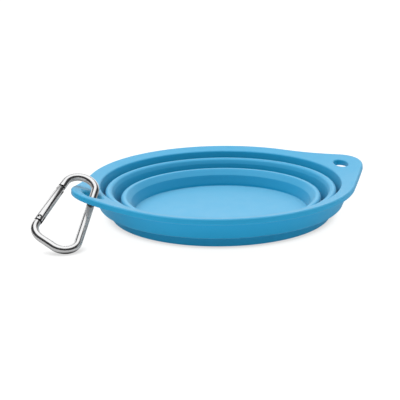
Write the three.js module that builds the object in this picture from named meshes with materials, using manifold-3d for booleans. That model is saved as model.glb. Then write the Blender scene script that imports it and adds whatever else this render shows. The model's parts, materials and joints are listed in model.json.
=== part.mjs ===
// Collapsible silicone pet bowl with a carabiner through one tab, as it lies folded flat.
// Millimetres, +Z up, base face at z = 0, tabs along X, the carabiner on the -X tab.
import * as THREE from "three";
import { mergeVertices } from "three/addons/utils/BufferGeometryUtils.js";
import Module from "manifold-3d";

const wasm = await Module();
wasm.setup();

// Bowl, from the rim inwards: each width is measured from the one before
const RIM_RADIUS = 65.6;
const RIM_EDGE_FLARE = 0.25;
const FLANGE_WIDTH = 6.75;
const OUTER_WALL_DRAFT = 0.9;
const UPPER_GROOVE_WIDTH = 1.05;
const UPPER_WEB_LEAN = 0.5;
const RIDGE_ONE_WIDTH = 3.9;
const MID_WALL_DRAFT = 1.35;
const LOWER_GROOVE_WIDTH = 1.25;
const LOWER_WEB_LEAN = 1.0;
const RIDGE_TWO_WIDTH = 2.6;
const INNER_BAND_WIDTH = 1.9;
const INNER_WALL_DRAFT = 1.7;
const SEAM_SHARE = 0.35;

// Bowl: walls
const FLANGE_THICKNESS = 3.1;
const OUTER_WALL_FOOT = 1.4;
const OUTER_WALL_SPREAD = 3.75;
const MID_WALL_FOOT = 2.7;
const BASE_WALL_FOOT = 1.2;
const WEB_THICKNESS = 1.2;
const SLIT_WIDTH = 1.0;
const SLIT_RISE = 0.35;
const VALLEY_THICKNESS = 1.75;
const FLOOR_THICKNESS = 1.75;
const SEAM_GAP = 0.3;

// Bowl: heights, folded
const RIM_HEIGHT = 17.3;
const FLANGE_SLOPE = 0.2;
const RIDGE_ONE_HEIGHT = 13.3;
const RIDGE_TWO_HEIGHT = 9.75;
const RIDGE_DEPTH = 1.85;
const INNER_BAND_DROP = 2.7;
const UPPER_VALLEY_HEIGHT = 5.65;
const LOWER_VALLEY_HEIGHT = 0.2;

// Bowl: rounding of the corners
const EDGE_ROUND = 0.9;
const FOOT_ROUND = 1.4;
const RIDGE_ROUND = 1.25;
const RIDGE_ONE_SHOULDER = 2.4;
const RIDGE_TWO_SHOULDER = 1.3;
const SLIT_ROUND = 0.25;
const FLOOR_ROUND = 1.2;
const ARC_STEP = THREE.MathUtils.degToRad(30);

// Tabs
const TAB_REACH = 10.1;
const TAB_TIP_ROUND = 21.0;
const SLOT_FROM_TIP = 9.2;
const SLOT_HALF_LENGTH = 6.05;
const SLOT_HALF_WIDTH = 2.7;
const SLOT_EDGE_ROUND = 0.6;
const CLIP_SLOT_WIDEN = 1.5;
const CLIP_SLOT_LENGTHEN = 0.45;
const CLIP_TAB_LIFT = 1.6;
const LIFT_REACH = 15.5;
const LIFT_HALF_ANGLE = 0.9;

// Carabiner, in its own plane: x along the tab, y up the lean
const ROD_RADIUS = 1.9;
const CLIP_RISE = 0.12;
const CLIP_LEAN = THREE.MathUtils.degToRad(28.4);
const SPINE_FOOT_X = 0.4;
const SPINE_ANGLE = THREE.MathUtils.degToRad(30.7);
const GATE_ANGLE = THREE.MathUtils.degToRad(41.9);
const BOW_RADIUS = 7.5;
const SPINE_TO_BOW = 4.3;
const SPINE_TO_CORNER = 43.3;
const BAR_ANGLE = THREE.MathUtils.degToRad(57.0);
const SPINE_BEND_RADIUS = 7.0;
const HINGE_BEND_RADIUS = 8.2;

// Gate, measured up the gate line from the end of the hinge bend
const HINGE_SHOULDER = 0.6;
const HINGE_GAP = 0.7;
const PIVOT_UP = 3.2;
const NOSE_LENGTH = 4.4;
const NOSE_GAP = 1.1;
const TONGUE_THICKNESS = 1.0;
const TONGUE_ROUND = 1.55;
const TONGUE_HALF_WIDTH = 1.4;
const TONGUE_ROOT = 1.2;
const FIT_CLEARANCE = 0.3;
const HINGE_SLOT_DEPTH = 4.3;
const LATCH_SLOT_DEPTH = 3.6;
const BLADE_LENGTH = 2.9;
const BLADE_HALF_WIDTH = 0.8;
const BLADE_HEAD_RADIUS = 1.15;
const PIN_RADIUS = 0.65;
const PIN_LENGTH = 3.5;
const BORE_RADIUS = 1.25;
const BORE_LENGTH = 9.0;
const PLUNGER_RADIUS = 0.9;
const PLUNGER_LENGTH = 1.9;
const SPRING_COIL_RADIUS = 0.74;
const SPRING_WIRE_RADIUS = 0.17;
const SPRING_TURNS = 5.5;
const SPRING_PITCH = 0.95;
const NOTCH_DEPTH = 1.2;
const NOTCH_HALF_WIDTH = 1.2;

// Mesh fineness
const SLOT_SIDES = 28;
const RIM_STEPS = 84;
const RING_STEPS = 72;
const ROD_SIDES = 16;
const GATE_SIDES = 24;
const PIN_SIDES = 16;
const WIRE_SIDES = 6;
const WIRE_STEPS = 84;
const ROD_STEPS = 74;

const silicone = new THREE.MeshStandardMaterial({ color: 0x56b6e4, roughness: 0.55, metalness: 0.0 });
const aluminium = new THREE.MeshStandardMaterial({ color: 0xd4d6d8, roughness: 0.18, metalness: 1.0 });
const steel = new THREE.MeshStandardMaterial({ color: 0x9aa0a6, roughness: 0.35, metalness: 1.0 });

// Geometry helpers

function indexed(vertices, triangles) {
  const g = new THREE.BufferGeometry();
  g.setAttribute("position", new THREE.BufferAttribute(new Float32Array(vertices), 3));
  g.setIndex(triangles);
  return g;
}

// A closed profile, listed anticlockwise in (radius, height), swept round the axis.
function ring(profileAt, steps) {
  const vertices = [];
  const triangles = [];
  const count = profileAt(0).length;
  for (let i = 0; i < steps; i++) {
    const turn = (2 * Math.PI * i) / steps;
    for (const [r, z] of profileAt(turn)) {
      vertices.push(r * Math.cos(turn), r * Math.sin(turn), z);
    }
  }
  for (let i = 0; i < steps; i++) {
    const next = (i + 1) % steps;
    for (let j = 0; j < count; j++) {
      const up = (j + 1) % count;
      const a = i * count + j;
      const b = next * count + j;
      const c = next * count + up;
      const d = i * count + up;
      triangles.push(a, b, c, a, c, d);
    }
  }
  return indexed(vertices, triangles);
}

// A profile that starts and ends on the axis, swept round it.
function revolve(profile, steps) {
  const inner = profile.slice(1, -1);
  const count = inner.length;
  const vertices = [];
  const triangles = [];
  for (let i = 0; i < steps; i++) {
    const turn = (2 * Math.PI * i) / steps;
    for (const [r, z] of inner) {
      vertices.push(r * Math.cos(turn), r * Math.sin(turn), z);
    }
  }
  const first = steps * count;
  vertices.push(0, 0, profile[0][1]);
  vertices.push(0, 0, profile[profile.length - 1][1]);
  for (let i = 0; i < steps; i++) {
    const next = (i + 1) % steps;
    triangles.push(first, next * count, i * count);
    triangles.push(first + 1, i * count + count - 1, next * count + count - 1);
    for (let j = 0; j + 1 < count; j++) {
      const a = i * count + j;
      const b = next * count + j;
      triangles.push(a, b, b + 1, a, b + 1, a + 1);
    }
  }
  return indexed(vertices, triangles);
}

// Closed loops of equal count, stacked from bottom to top and capped.
function loft(loops) {
  const count = loops[0].length;
  const vertices = [];
  const triangles = [];
  for (const loop of loops) {
    for (const p of loop) vertices.push(p.x, p.y, p.z);
  }
  const middle = (loop) => loop.reduce((sum, p) => sum.add(p), new THREE.Vector3()).divideScalar(count);
  const bottom = loops.length * count;
  for (const end of [loops[0], loops[loops.length - 1]]) {
    const m = middle(end);
    vertices.push(m.x, m.y, m.z);
  }
  for (let j = 0; j < count; j++) {
    const next = (j + 1) % count;
    triangles.push(bottom, next, j);
    const top = (loops.length - 1) * count;
    triangles.push(bottom + 1, top + j, top + next);
    for (let k = 0; k + 1 < loops.length; k++) {
      const a = k * count + j;
      const b = k * count + next;
      triangles.push(a, b, b + count, a, b + count, a + count);
    }
  }
  return indexed(vertices, triangles);
}

function bare(geometry) {
  const g = geometry.clone();
  g.deleteAttribute("normal");
  g.deleteAttribute("uv");
  return mergeVertices(g, 1e-4);
}

function solid(geometry) {
  const g = bare(geometry);
  return new wasm.Manifold(
    new wasm.Mesh({
      numProp: 3,
      vertProperties: new Float32Array(g.attributes.position.array),
      triVerts: new Uint32Array(g.index.array),
    }),
  );
}

function geometryOf(made) {
  const m = made.getMesh();
  return indexed(Array.from(m.vertProperties), Array.from(m.triVerts));
}

function part(name, geometry, material) {
  const g = geometry.clone();
  g.computeVertexNormals();
  const mesh = new THREE.Mesh(g, material);
  mesh.name = name;
  return mesh;
}

// Radii of the bowl, worked inwards from the rim

const flangeInner = RIM_RADIUS - FLANGE_WIDTH;
const grooveOne = flangeInner - OUTER_WALL_DRAFT;
const upperSeam = grooveOne - SEAM_SHARE * UPPER_GROOVE_WIDTH;
const webOne = grooveOne - UPPER_GROOVE_WIDTH;
const ridgeOneOuter = webOne - UPPER_WEB_LEAN;
const ridgeOneInner = ridgeOneOuter - RIDGE_ONE_WIDTH;
const grooveTwo = ridgeOneInner - MID_WALL_DRAFT;
const lowerSeam = grooveTwo - SEAM_SHARE * LOWER_GROOVE_WIDTH;
const webTwo = grooveTwo - LOWER_GROOVE_WIDTH;
const ridgeTwoOuter = webTwo - LOWER_WEB_LEAN;
const ridgeTwoInner = ridgeTwoOuter - RIDGE_TWO_WIDTH;
const innerBand = ridgeTwoInner - INNER_BAND_WIDTH;
const floorRadius = innerBand - INNER_WALL_DRAFT;
const lipOne = RIDGE_ONE_HEIGHT - RIDGE_DEPTH;
const lipTwo = RIDGE_TWO_HEIGHT - RIDGE_DEPTH;

// A chain of corners [radius, height, rounding] with each rounding drawn as an arc.
function rounded(corners, closed) {
  const points = [];
  const count = corners.length;
  corners.forEach(([x, y, round], i) => {
    const end = !closed && (i === 0 || i === count - 1);
    if (!round || end) {
      points.push([x, y]);
      return;
    }
    const here = new THREE.Vector2(x, y);
    const back = new THREE.Vector2(...corners[(i + count - 1) % count]).sub(here).normalize();
    const on = new THREE.Vector2(...corners[(i + 1) % count]).sub(here).normalize();
    const half = 0.5 * Math.acos(THREE.MathUtils.clamp(back.dot(on), -1, 1));
    const centre = here.clone().addScaledVector(back.clone().add(on).normalize(), round / Math.sin(half));
    const from = here.clone().addScaledVector(back, round / Math.tan(half)).sub(centre);
    const sweepAngle = Math.PI - 2 * half;
    const side = Math.sign(back.x * on.y - back.y * on.x);
    const steps = Math.max(2, Math.round(sweepAngle / ARC_STEP));
    for (let k = 0; k <= steps; k++) {
      const p = from.clone().rotateAround(new THREE.Vector2(), (-side * sweepAngle * k) / steps).add(centre);
      points.push([p.x, p.y]);
    }
  });
  return points;
}

// Rim band: sloped flange drawn out into two tabs, a rounded rim edge and the outer wall

const flangeAt = (r) => RIM_HEIGHT + FLANGE_SLOPE * (r - RIM_RADIUS);
const rimLower = RIM_RADIUS + RIM_EDGE_FLARE;
const wallTop = flangeInner + OUTER_WALL_SPREAD;
const valleyTop = UPPER_VALLEY_HEIGHT + VALLEY_THICKNESS;
const rimProfile = rounded(
  [
    [upperSeam, UPPER_VALLEY_HEIGHT, 0],
    [grooveOne + OUTER_WALL_FOOT, UPPER_VALLEY_HEIGHT, FOOT_ROUND],
    [wallTop, flangeAt(wallTop) - FLANGE_THICKNESS, EDGE_ROUND],
    [rimLower, flangeAt(rimLower) - FLANGE_THICKNESS, EDGE_ROUND],
    [RIM_RADIUS, RIM_HEIGHT, EDGE_ROUND],
    [flangeInner, flangeAt(flangeInner), EDGE_ROUND],
    [grooveOne, valleyTop, SLIT_ROUND],
    [upperSeam, valleyTop, 0],
  ],
  true,
);

const tipRadius = RIM_RADIUS + TAB_REACH;
const slotRadius = tipRadius - SLOT_FROM_TIP;
const tipCentre = tipRadius - TAB_TIP_ROUND;
const tangentAngle = Math.acos((RIM_RADIUS - TAB_TIP_ROUND) / tipCentre);
const tipTouch = Math.atan2(
  TAB_TIP_ROUND * Math.sin(tangentAngle),
  tipCentre + TAB_TIP_ROUND * Math.cos(tangentAngle),
);

// Outline radius of rim and tabs in a direction: the rim circle and two tip circles in one taut line.
function outline(turn) {
  const off = Math.abs(Math.asin(Math.sin(turn)));
  if (off >= tangentAngle) return RIM_RADIUS;
  if (off >= tipTouch) return RIM_RADIUS / Math.cos(tangentAngle - off);
  const side = tipCentre * Math.sin(off);
  return tipCentre * Math.cos(off) + Math.sqrt(TAB_TIP_ROUND ** 2 - side ** 2);
}

// The tab that holds the carabiner is flexed up a little towards its tip.
function lift(turn, r) {
  const off = Math.abs(Math.PI - Math.abs(Math.atan2(Math.sin(turn), Math.cos(turn))));
  const out = (r - tipRadius) / LIFT_REACH + 1;
  if (off >= LIFT_HALF_ANGLE || out <= 0) return 0;
  return CLIP_TAB_LIFT * out * Math.cos((0.5 * Math.PI * off) / LIFT_HALF_ANGLE) ** 2;
}

function rimAt(turn) {
  const grow = outline(turn) - RIM_RADIUS;
  const edgeFrom = RIM_RADIUS - 1.5 * EDGE_ROUND;
  return rimProfile.map(([r, z]) => {
    const out = r > edgeFrom ? r + grow : r;
    return [out, z + FLANGE_SLOPE * (out - r) + lift(turn, out)];
  });
}

const tabTop = (side, r) => flangeAt(r) + lift(side > 0 ? 0 : Math.PI, r);
const tabSlope = (side) => Math.atan(tabTop(side, slotRadius + 0.5) - tabTop(side, slotRadius - 0.5));
const slotHeight = (side) => tabTop(side, slotRadius) - FLANGE_THICKNESS / 2 / Math.cos(tabSlope(side));

// An oval slot with rounded edges, long across the tab, square to the tab's own slope.
// The rod stretches the one it goes through, and rounds its edges fully.
function slotTool(side) {
  const held = side < 0;
  const half = FLANGE_THICKNESS / 2;
  const edge = held ? half : SLOT_EDGE_ROUND;
  const width = SLOT_HALF_WIDTH + (held ? CLIP_SLOT_WIDEN : 0);
  const straight = SLOT_HALF_LENGTH + (held ? CLIP_SLOT_LENGTHEN : 0) - width;
  const outside = 0.6 * half;
  const above = [0, 0.35, 0.7, 0.92, 1].map((t) => [
    half - edge + t * edge,
    edge * (1 - Math.sqrt(1 - t * t)),
  ]);
  above.push([half + outside, edge + outside]);
  const below = above.map(([height, flare]) => [-height, flare]).reverse();
  const levels = [...below, ...above].filter(([height], k, all) => k === 0 || height > all[k - 1][0]);
  const loops = levels.map(([height, flare]) =>
    Array.from({ length: SLOT_SIDES }, (_, k) => {
      const a = (2 * Math.PI * (k + 0.5)) / SLOT_SIDES;
      const across = held ? Math.sign(Math.sin(a)) : Math.sin(a);
      const y = (width + flare) * Math.sin(a) + across * straight;
      return new THREE.Vector3((width + flare) * Math.cos(a), y, height);
    }),
  );
  const g = loft(loops);
  g.rotateY(-side * tabSlope(side));
  g.translate(side * slotRadius, 0, slotHeight(side));
  return g;
}

let rim = solid(ring(rimAt, RIM_STEPS));
for (const side of [-1, 1]) rim = rim.subtract(solid(slotTool(side)));

// Folding webs: from a valley's middle up to the lip under a ridge

function web(seam, foot, valley, outer, lip) {
  const inner = outer - WEB_THICKNESS;
  const lean = foot - outer;
  return rounded(
    [
      [seam - SEAM_GAP, valley, 0],
      [seam - SEAM_GAP, valley + VALLEY_THICKNESS, 0],
      [foot, valley + VALLEY_THICKNESS, SLIT_ROUND],
      [outer, lip - SEAM_GAP, 0],
      [inner, lip - SEAM_GAP, 0],
      [inner + lean, valley, FOOT_ROUND],
    ],
    true,
  );
}
const upperWeb = web(upperSeam, webOne, UPPER_VALLEY_HEIGHT, ridgeOneOuter, lipOne);
const lowerWeb = web(lowerSeam, webTwo, LOWER_VALLEY_HEIGHT, ridgeTwoOuter, lipTwo);

// The outside of a ridge: the slit behind its web, its lip and its outer shoulder.
function ridge(outer, lip, height) {
  const slitOuter = outer - WEB_THICKNESS;
  return [
    [slitOuter - SLIT_WIDTH, lip + SLIT_RISE, SLIT_ROUND],
    [slitOuter, lip + SLIT_RISE, SLIT_ROUND],
    [slitOuter, lip, 0],
    [outer, lip, 0],
    [outer, height, RIDGE_ROUND],
  ];
}

const midRing = rounded(
  [
    [lowerSeam, LOWER_VALLEY_HEIGHT, 0],
    [grooveTwo + MID_WALL_FOOT, LOWER_VALLEY_HEIGHT, EDGE_ROUND],
    ...ridge(ridgeOneOuter, lipOne, RIDGE_ONE_HEIGHT),
    [ridgeOneInner, RIDGE_ONE_HEIGHT, RIDGE_ONE_SHOULDER],
    [grooveTwo, LOWER_VALLEY_HEIGHT + VALLEY_THICKNESS, SLIT_ROUND],
    [lowerSeam, LOWER_VALLEY_HEIGHT + VALLEY_THICKNESS, 0],
  ],
  true,
);

const baseCup = rounded(
  [
    [0, 0, 0],
    [floorRadius + BASE_WALL_FOOT, 0, EDGE_ROUND],
    ...ridge(ridgeTwoOuter, lipTwo, RIDGE_TWO_HEIGHT),
    [ridgeTwoInner, RIDGE_TWO_HEIGHT, RIDGE_TWO_SHOULDER],
    [innerBand, RIDGE_TWO_HEIGHT - INNER_BAND_DROP, EDGE_ROUND],
    [floorRadius, FLOOR_THICKNESS, FLOOR_ROUND],
    [0, FLOOR_THICKNESS, 0],
  ],
  false,
);

// Carabiner: a round rod bent in one plane, from the hinge shoulder round to the nose

const spineUp = new THREE.Vector2(Math.sin(SPINE_ANGLE), Math.cos(SPINE_ANGLE));
const gateUp = new THREE.Vector2(Math.sin(GATE_ANGLE), Math.cos(GATE_ANGLE));
const barRun = new THREE.Vector2(-Math.cos(BAR_ANGLE), Math.sin(BAR_ANGLE));
const spineFoot = new THREE.Vector2(SPINE_FOOT_X, 0);
const rightOf = (u) => new THREE.Vector2(u.y, -u.x);
const along = (p, u, d) => p.clone().addScaledVector(u, d);

function meet(p, u, q, v) {
  const cross = u.x * v.y - u.y * v.x;
  const t = ((q.x - p.x) * v.y - (q.y - p.y) * v.x) / cross;
  return along(p, u, t);
}

const bowToSpine = along(spineFoot, spineUp, SPINE_TO_BOW);
const bowCentre = along(bowToSpine, rightOf(spineUp), -BOW_RADIUS);
const bowToGate = along(bowCentre, rightOf(gateUp), -BOW_RADIUS);
const spineCorner = along(spineFoot, spineUp, -SPINE_TO_CORNER);
const hingeCorner = meet(bowToGate, gateUp, spineCorner, barRun);

// The two bends at the ends of the lower bar.
function bend(corner, into, out, radius) {
  const reach = radius * Math.tan(0.5 * Math.acos(into.dot(out)));
  const start = along(corner, into, -reach);
  return { start, end: along(corner, out, reach), centre: along(start, rightOf(into), radius), radius };
}
const spineBend = bend(spineCorner, spineUp.clone().negate(), barRun, SPINE_BEND_RADIUS);
const hingeBend = bend(hingeCorner, barRun, gateUp, HINGE_BEND_RADIUS);

const onGate = (d) => along(hingeBend.end, gateUp, d);
const noseShoulder = hingeBend.end.distanceTo(bowToGate) - NOSE_LENGTH;

class RodLine extends THREE.Curve {
  constructor() {
    super();
    this.pieces = [];
  }
  line(from, to) {
    this.pieces.push({ length: from.distanceTo(to), at: (s) => from.clone().lerp(to, s) });
  }
  bow(centre, from, to) {
    const radius = centre.distanceTo(from);
    const start = Math.atan2(from.y - centre.y, from.x - centre.x);
    let stop = Math.atan2(to.y - centre.y, to.x - centre.x);
    if (stop < start) stop += 2 * Math.PI;
    const at = (s) => {
      const a = start + (stop - start) * s;
      return new THREE.Vector2(centre.x + radius * Math.cos(a), centre.y + radius * Math.sin(a));
    };
    this.pieces.push({ length: radius * (stop - start), at });
  }
  getPoint(t) {
    const total = this.pieces.reduce((sum, p) => sum + p.length, 0);
    let left = THREE.MathUtils.clamp(t, 0, 1) * total;
    let index = 0;
    while (index + 1 < this.pieces.length && left > this.pieces[index].length) {
      left -= this.pieces[index].length;
      index += 1;
    }
    const flat = this.pieces[index].at(Math.min(left / this.pieces[index].length, 1));
    return new THREE.Vector3(flat.x, flat.y, 0);
  }
}

const rodLine = new RodLine();
rodLine.line(onGate(HINGE_SHOULDER), hingeBend.end);
rodLine.bow(hingeBend.centre, hingeBend.end, hingeBend.start);
rodLine.line(hingeBend.start, spineBend.end);
rodLine.bow(spineBend.centre, spineBend.end, spineBend.start);
rodLine.line(spineBend.start, bowToSpine);
rodLine.bow(bowCentre, bowToSpine, bowToGate);
rodLine.line(bowToGate, onGate(noseShoulder));

function disc(radius, sides) {
  const shape = new THREE.Shape();
  for (let k = 0; k < sides; k++) {
    const a = (2 * Math.PI * k) / sides;
    const x = radius * Math.cos(a);
    const y = radius * Math.sin(a);
    if (k === 0) shape.moveTo(x, y);
    else shape.lineTo(x, y);
  }
  shape.closePath();
  return shape;
}

function sweep(path, radius, sides, steps) {
  return new THREE.ExtrudeGeometry(disc(radius, sides), { steps, extrudePath: path, curveSegments: sides });
}

// A flat plate in the carabiner's plane, given as points and centred on that plane.
function plate(points, thickness) {
  const g = new THREE.ExtrudeGeometry(new THREE.Shape(points), { depth: thickness, bevelEnabled: false });
  g.translate(0, 0, -thickness / 2);
  return g;
}

// A round bar along the gate line, or square to the plane.
function gateBar(radius, from, to, sides) {
  const a = onGate(from);
  const b = onGate(to);
  const path = new THREE.LineCurve3(new THREE.Vector3(a.x, a.y, 0), new THREE.Vector3(b.x, b.y, 0));
  return sweep(path, radius, sides, 1);
}

function crossBar(centre, radius, length, sides) {
  const g = new THREE.ExtrudeGeometry(disc(radius, sides), { depth: length, bevelEnabled: false });
  g.translate(centre.x, centre.y, -length / 2);
  return g;
}

// Points of a tongue along the gate line: square at one end, round about a centre at the other.
function tongue(rootAt, centreAt, halfWidth, round, sign) {
  const points = [];
  const side = rightOf(gateUp);
  const at = (d, w) => along(onGate(d), side, w);
  points.push(at(rootAt, -halfWidth), at(rootAt, halfWidth));
  const open = Math.asin(Math.min(halfWidth / round, 1));
  for (let k = 0; k <= 12; k++) {
    const a = Math.PI - open - (k * 2 * (Math.PI - open)) / 12;
    points.push(at(centreAt - sign * round * Math.cos(Math.PI - a), round * Math.sin(a)));
  }
  return sign > 0 ? points.reverse() : points;
}

const pivot = onGate(PIVOT_UP);
const cutLength = 3 * ROD_RADIUS;
const hingeTongue = plate(
  tongue(HINGE_SHOULDER - TONGUE_ROOT, PIVOT_UP, TONGUE_HALF_WIDTH, TONGUE_ROUND, 1),
  TONGUE_THICKNESS,
);
const bladeTip = noseShoulder - BLADE_LENGTH + BLADE_HEAD_RADIUS;
const blade = plate(
  tongue(noseShoulder + TONGUE_ROOT, bladeTip, BLADE_HALF_WIDTH, BLADE_HEAD_RADIUS, -1),
  TONGUE_THICKNESS,
);

const frame = solid(sweep(rodLine, ROD_RADIUS, ROD_SIDES, ROD_STEPS))
  .add(solid(hingeTongue))
  .add(solid(blade))
  .subtract(solid(crossBar(pivot, PIN_RADIUS + FIT_CLEARANCE, cutLength, PIN_SIDES)));

// Gate: a round bar slotted at both ends, bored for its spring

const gateFrom = HINGE_SHOULDER + HINGE_GAP;
const gateTo = noseShoulder - NOSE_GAP;
const slotWidth = TONGUE_THICKNESS + 2 * FIT_CLEARANCE;

function gateSlot(from, to) {
  const side = rightOf(gateUp);
  const wide = cutLength / 2;
  const at = (d, w) => along(onGate(d), side, w);
  return plate([at(from, wide), at(to, wide), at(to, -wide), at(from, -wide)], slotWidth);
}

// A small three-cornered notch in the outer side of the gate, beside the head of the blade.
function gateNotch() {
  const side = rightOf(gateUp);
  const middle = gateTo - LATCH_SLOT_DEPTH + NOTCH_HALF_WIDTH;
  const at = (d, w) => along(onGate(middle + d), side, w - ROD_RADIUS);
  const mouth = -0.5 * NOTCH_DEPTH;
  const corners = [at(-NOTCH_HALF_WIDTH, mouth), at(0, NOTCH_DEPTH), at(NOTCH_HALF_WIDTH, mouth)];
  return plate(corners, cutLength);
}

const slotEnd = gateFrom + HINGE_SLOT_DEPTH;
const boreFrom = slotEnd - FIT_CLEARANCE;
const gate = solid(gateBar(ROD_RADIUS, gateFrom, gateTo, GATE_SIDES))
  .subtract(solid(gateSlot(gateFrom - HINGE_GAP, slotEnd)))
  .subtract(solid(gateSlot(gateTo - LATCH_SLOT_DEPTH, gateTo + NOSE_GAP)))
  .subtract(solid(gateNotch()))
  .subtract(solid(crossBar(pivot, PIN_RADIUS + FIT_CLEARANCE, cutLength, PIN_SIDES)))
  .subtract(solid(gateBar(BORE_RADIUS, boreFrom, boreFrom + BORE_LENGTH, PIN_SIDES)));

const plungerFrom = slotEnd;
const plungerTo = plungerFrom + PLUNGER_LENGTH;
const springFrom = plungerTo + FIT_CLEARANCE + SPRING_WIRE_RADIUS;

class Helix extends THREE.Curve {
  getPoint(t) {
    const turn = 2 * Math.PI * SPRING_TURNS * t;
    const base = onGate(springFrom + SPRING_PITCH * SPRING_TURNS * t);
    const flat = along(base, rightOf(gateUp), SPRING_COIL_RADIUS * Math.cos(turn));
    return new THREE.Vector3(flat.x, flat.y, SPRING_COIL_RADIUS * Math.sin(turn));
  }
}
const helix = new Helix();

// Least clear gap between neighbouring coils of the spring.
function leastCoilGap() {
  const points = [];
  const per = 48;
  for (let k = 0; k <= per * SPRING_TURNS; k++) points.push(helix.getPoint(k / (per * SPRING_TURNS)));
  let least = Infinity;
  for (let i = 0; i < points.length; i++) {
    for (let j = i + per / 2; j < points.length; j++) {
      least = Math.min(least, points[i].distanceTo(points[j]));
    }
  }
  return least - 2 * SPRING_WIRE_RADIUS;
}
console.log("least gap between spring coils " + leastCoilGap().toFixed(2) + " mm");

// Assembly

const bowl = new THREE.Group();
bowl.name = "collapsible_pet_bowl";
bowl.add(part("base_cup", revolve(baseCup, RING_STEPS), silicone));
bowl.add(part("lower_fold_web", ring(() => lowerWeb, RING_STEPS), silicone));
bowl.add(part("mid_ring", ring(() => midRing, RING_STEPS), silicone));
bowl.add(part("upper_fold_web", ring(() => upperWeb, RING_STEPS), silicone));
bowl.add(part("rim_band", geometryOf(rim), silicone));

const clip = new THREE.Group();
clip.position.set(-slotRadius, 0, slotHeight(-1) + CLIP_RISE);
clip.rotation.x = CLIP_LEAN;
clip.add(part("clip_frame", geometryOf(frame), aluminium));
clip.add(part("clip_gate", geometryOf(gate), aluminium));
clip.add(part("gate_pin", crossBar(pivot, PIN_RADIUS, PIN_LENGTH, PIN_SIDES), aluminium));
clip.add(part("gate_plunger", bare(gateBar(PLUNGER_RADIUS, plungerFrom, plungerTo, PIN_SIDES)), steel));
clip.add(part("gate_spring", bare(sweep(helix, SPRING_WIRE_RADIUS, WIRE_SIDES, WIRE_STEPS)), steel));
bowl.add(clip);

export default bowl;
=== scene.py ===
"""A folding silicone pet bowl with a carabiner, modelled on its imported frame. All sizes are in metres."""

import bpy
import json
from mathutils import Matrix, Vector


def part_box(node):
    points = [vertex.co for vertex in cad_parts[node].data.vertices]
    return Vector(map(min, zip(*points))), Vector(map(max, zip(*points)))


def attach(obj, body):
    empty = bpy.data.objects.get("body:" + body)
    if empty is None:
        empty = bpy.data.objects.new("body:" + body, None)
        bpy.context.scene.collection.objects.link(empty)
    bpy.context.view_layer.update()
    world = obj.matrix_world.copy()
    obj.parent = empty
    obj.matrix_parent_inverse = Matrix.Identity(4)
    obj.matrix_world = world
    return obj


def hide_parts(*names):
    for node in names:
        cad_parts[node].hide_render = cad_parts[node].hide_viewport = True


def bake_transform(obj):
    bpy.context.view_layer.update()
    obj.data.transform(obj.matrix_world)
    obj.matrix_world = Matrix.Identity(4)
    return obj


bl_info = {
    "name": "Folding Pet Bowl",
    "version": (1, 0, 0),
    "blender": (4, 5, 0),
    "location": "3D View > Sidebar > Pet Bowl",
    "description": "Models a folding silicone pet bowl and its carabiner on the packed frame",
    "category": "Object",
}

import json
import math

import bpy
from bpy.props import FloatProperty, FloatVectorProperty, IntProperty, PointerProperty
from mathutils import Matrix, Vector

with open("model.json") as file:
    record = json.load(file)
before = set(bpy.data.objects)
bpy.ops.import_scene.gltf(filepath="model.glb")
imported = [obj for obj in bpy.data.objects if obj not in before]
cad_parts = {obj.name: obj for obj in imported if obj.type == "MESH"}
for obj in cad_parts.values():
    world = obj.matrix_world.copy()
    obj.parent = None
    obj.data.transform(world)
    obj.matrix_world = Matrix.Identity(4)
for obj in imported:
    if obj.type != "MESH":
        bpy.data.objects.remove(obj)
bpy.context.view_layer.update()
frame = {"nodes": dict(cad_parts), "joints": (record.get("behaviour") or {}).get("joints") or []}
JOINTS = {joint["name"]: joint for joint in frame["joints"]}
MM = 0.001


def length(name, description, default_mm):
    """A length property, written in millimetres and held in metres."""
    default = default_mm * MM
    return FloatProperty(name=name, description=description, default=default, unit="LENGTH", precision=5)


def angle(name, description, degrees):
    """An angle property, written in degrees and held in radians."""
    default = math.radians(degrees)
    return FloatProperty(name=name, description=description, default=default, subtype="ANGLE")


def number(name, description, default):
    """A plain number property."""
    return FloatProperty(name=name, description=description, default=default)


def tint(name, description, default):
    """A colour property."""
    return FloatVectorProperty(name=name, description=description, subtype="COLOR", default=default)


# Sizes and colours

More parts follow.
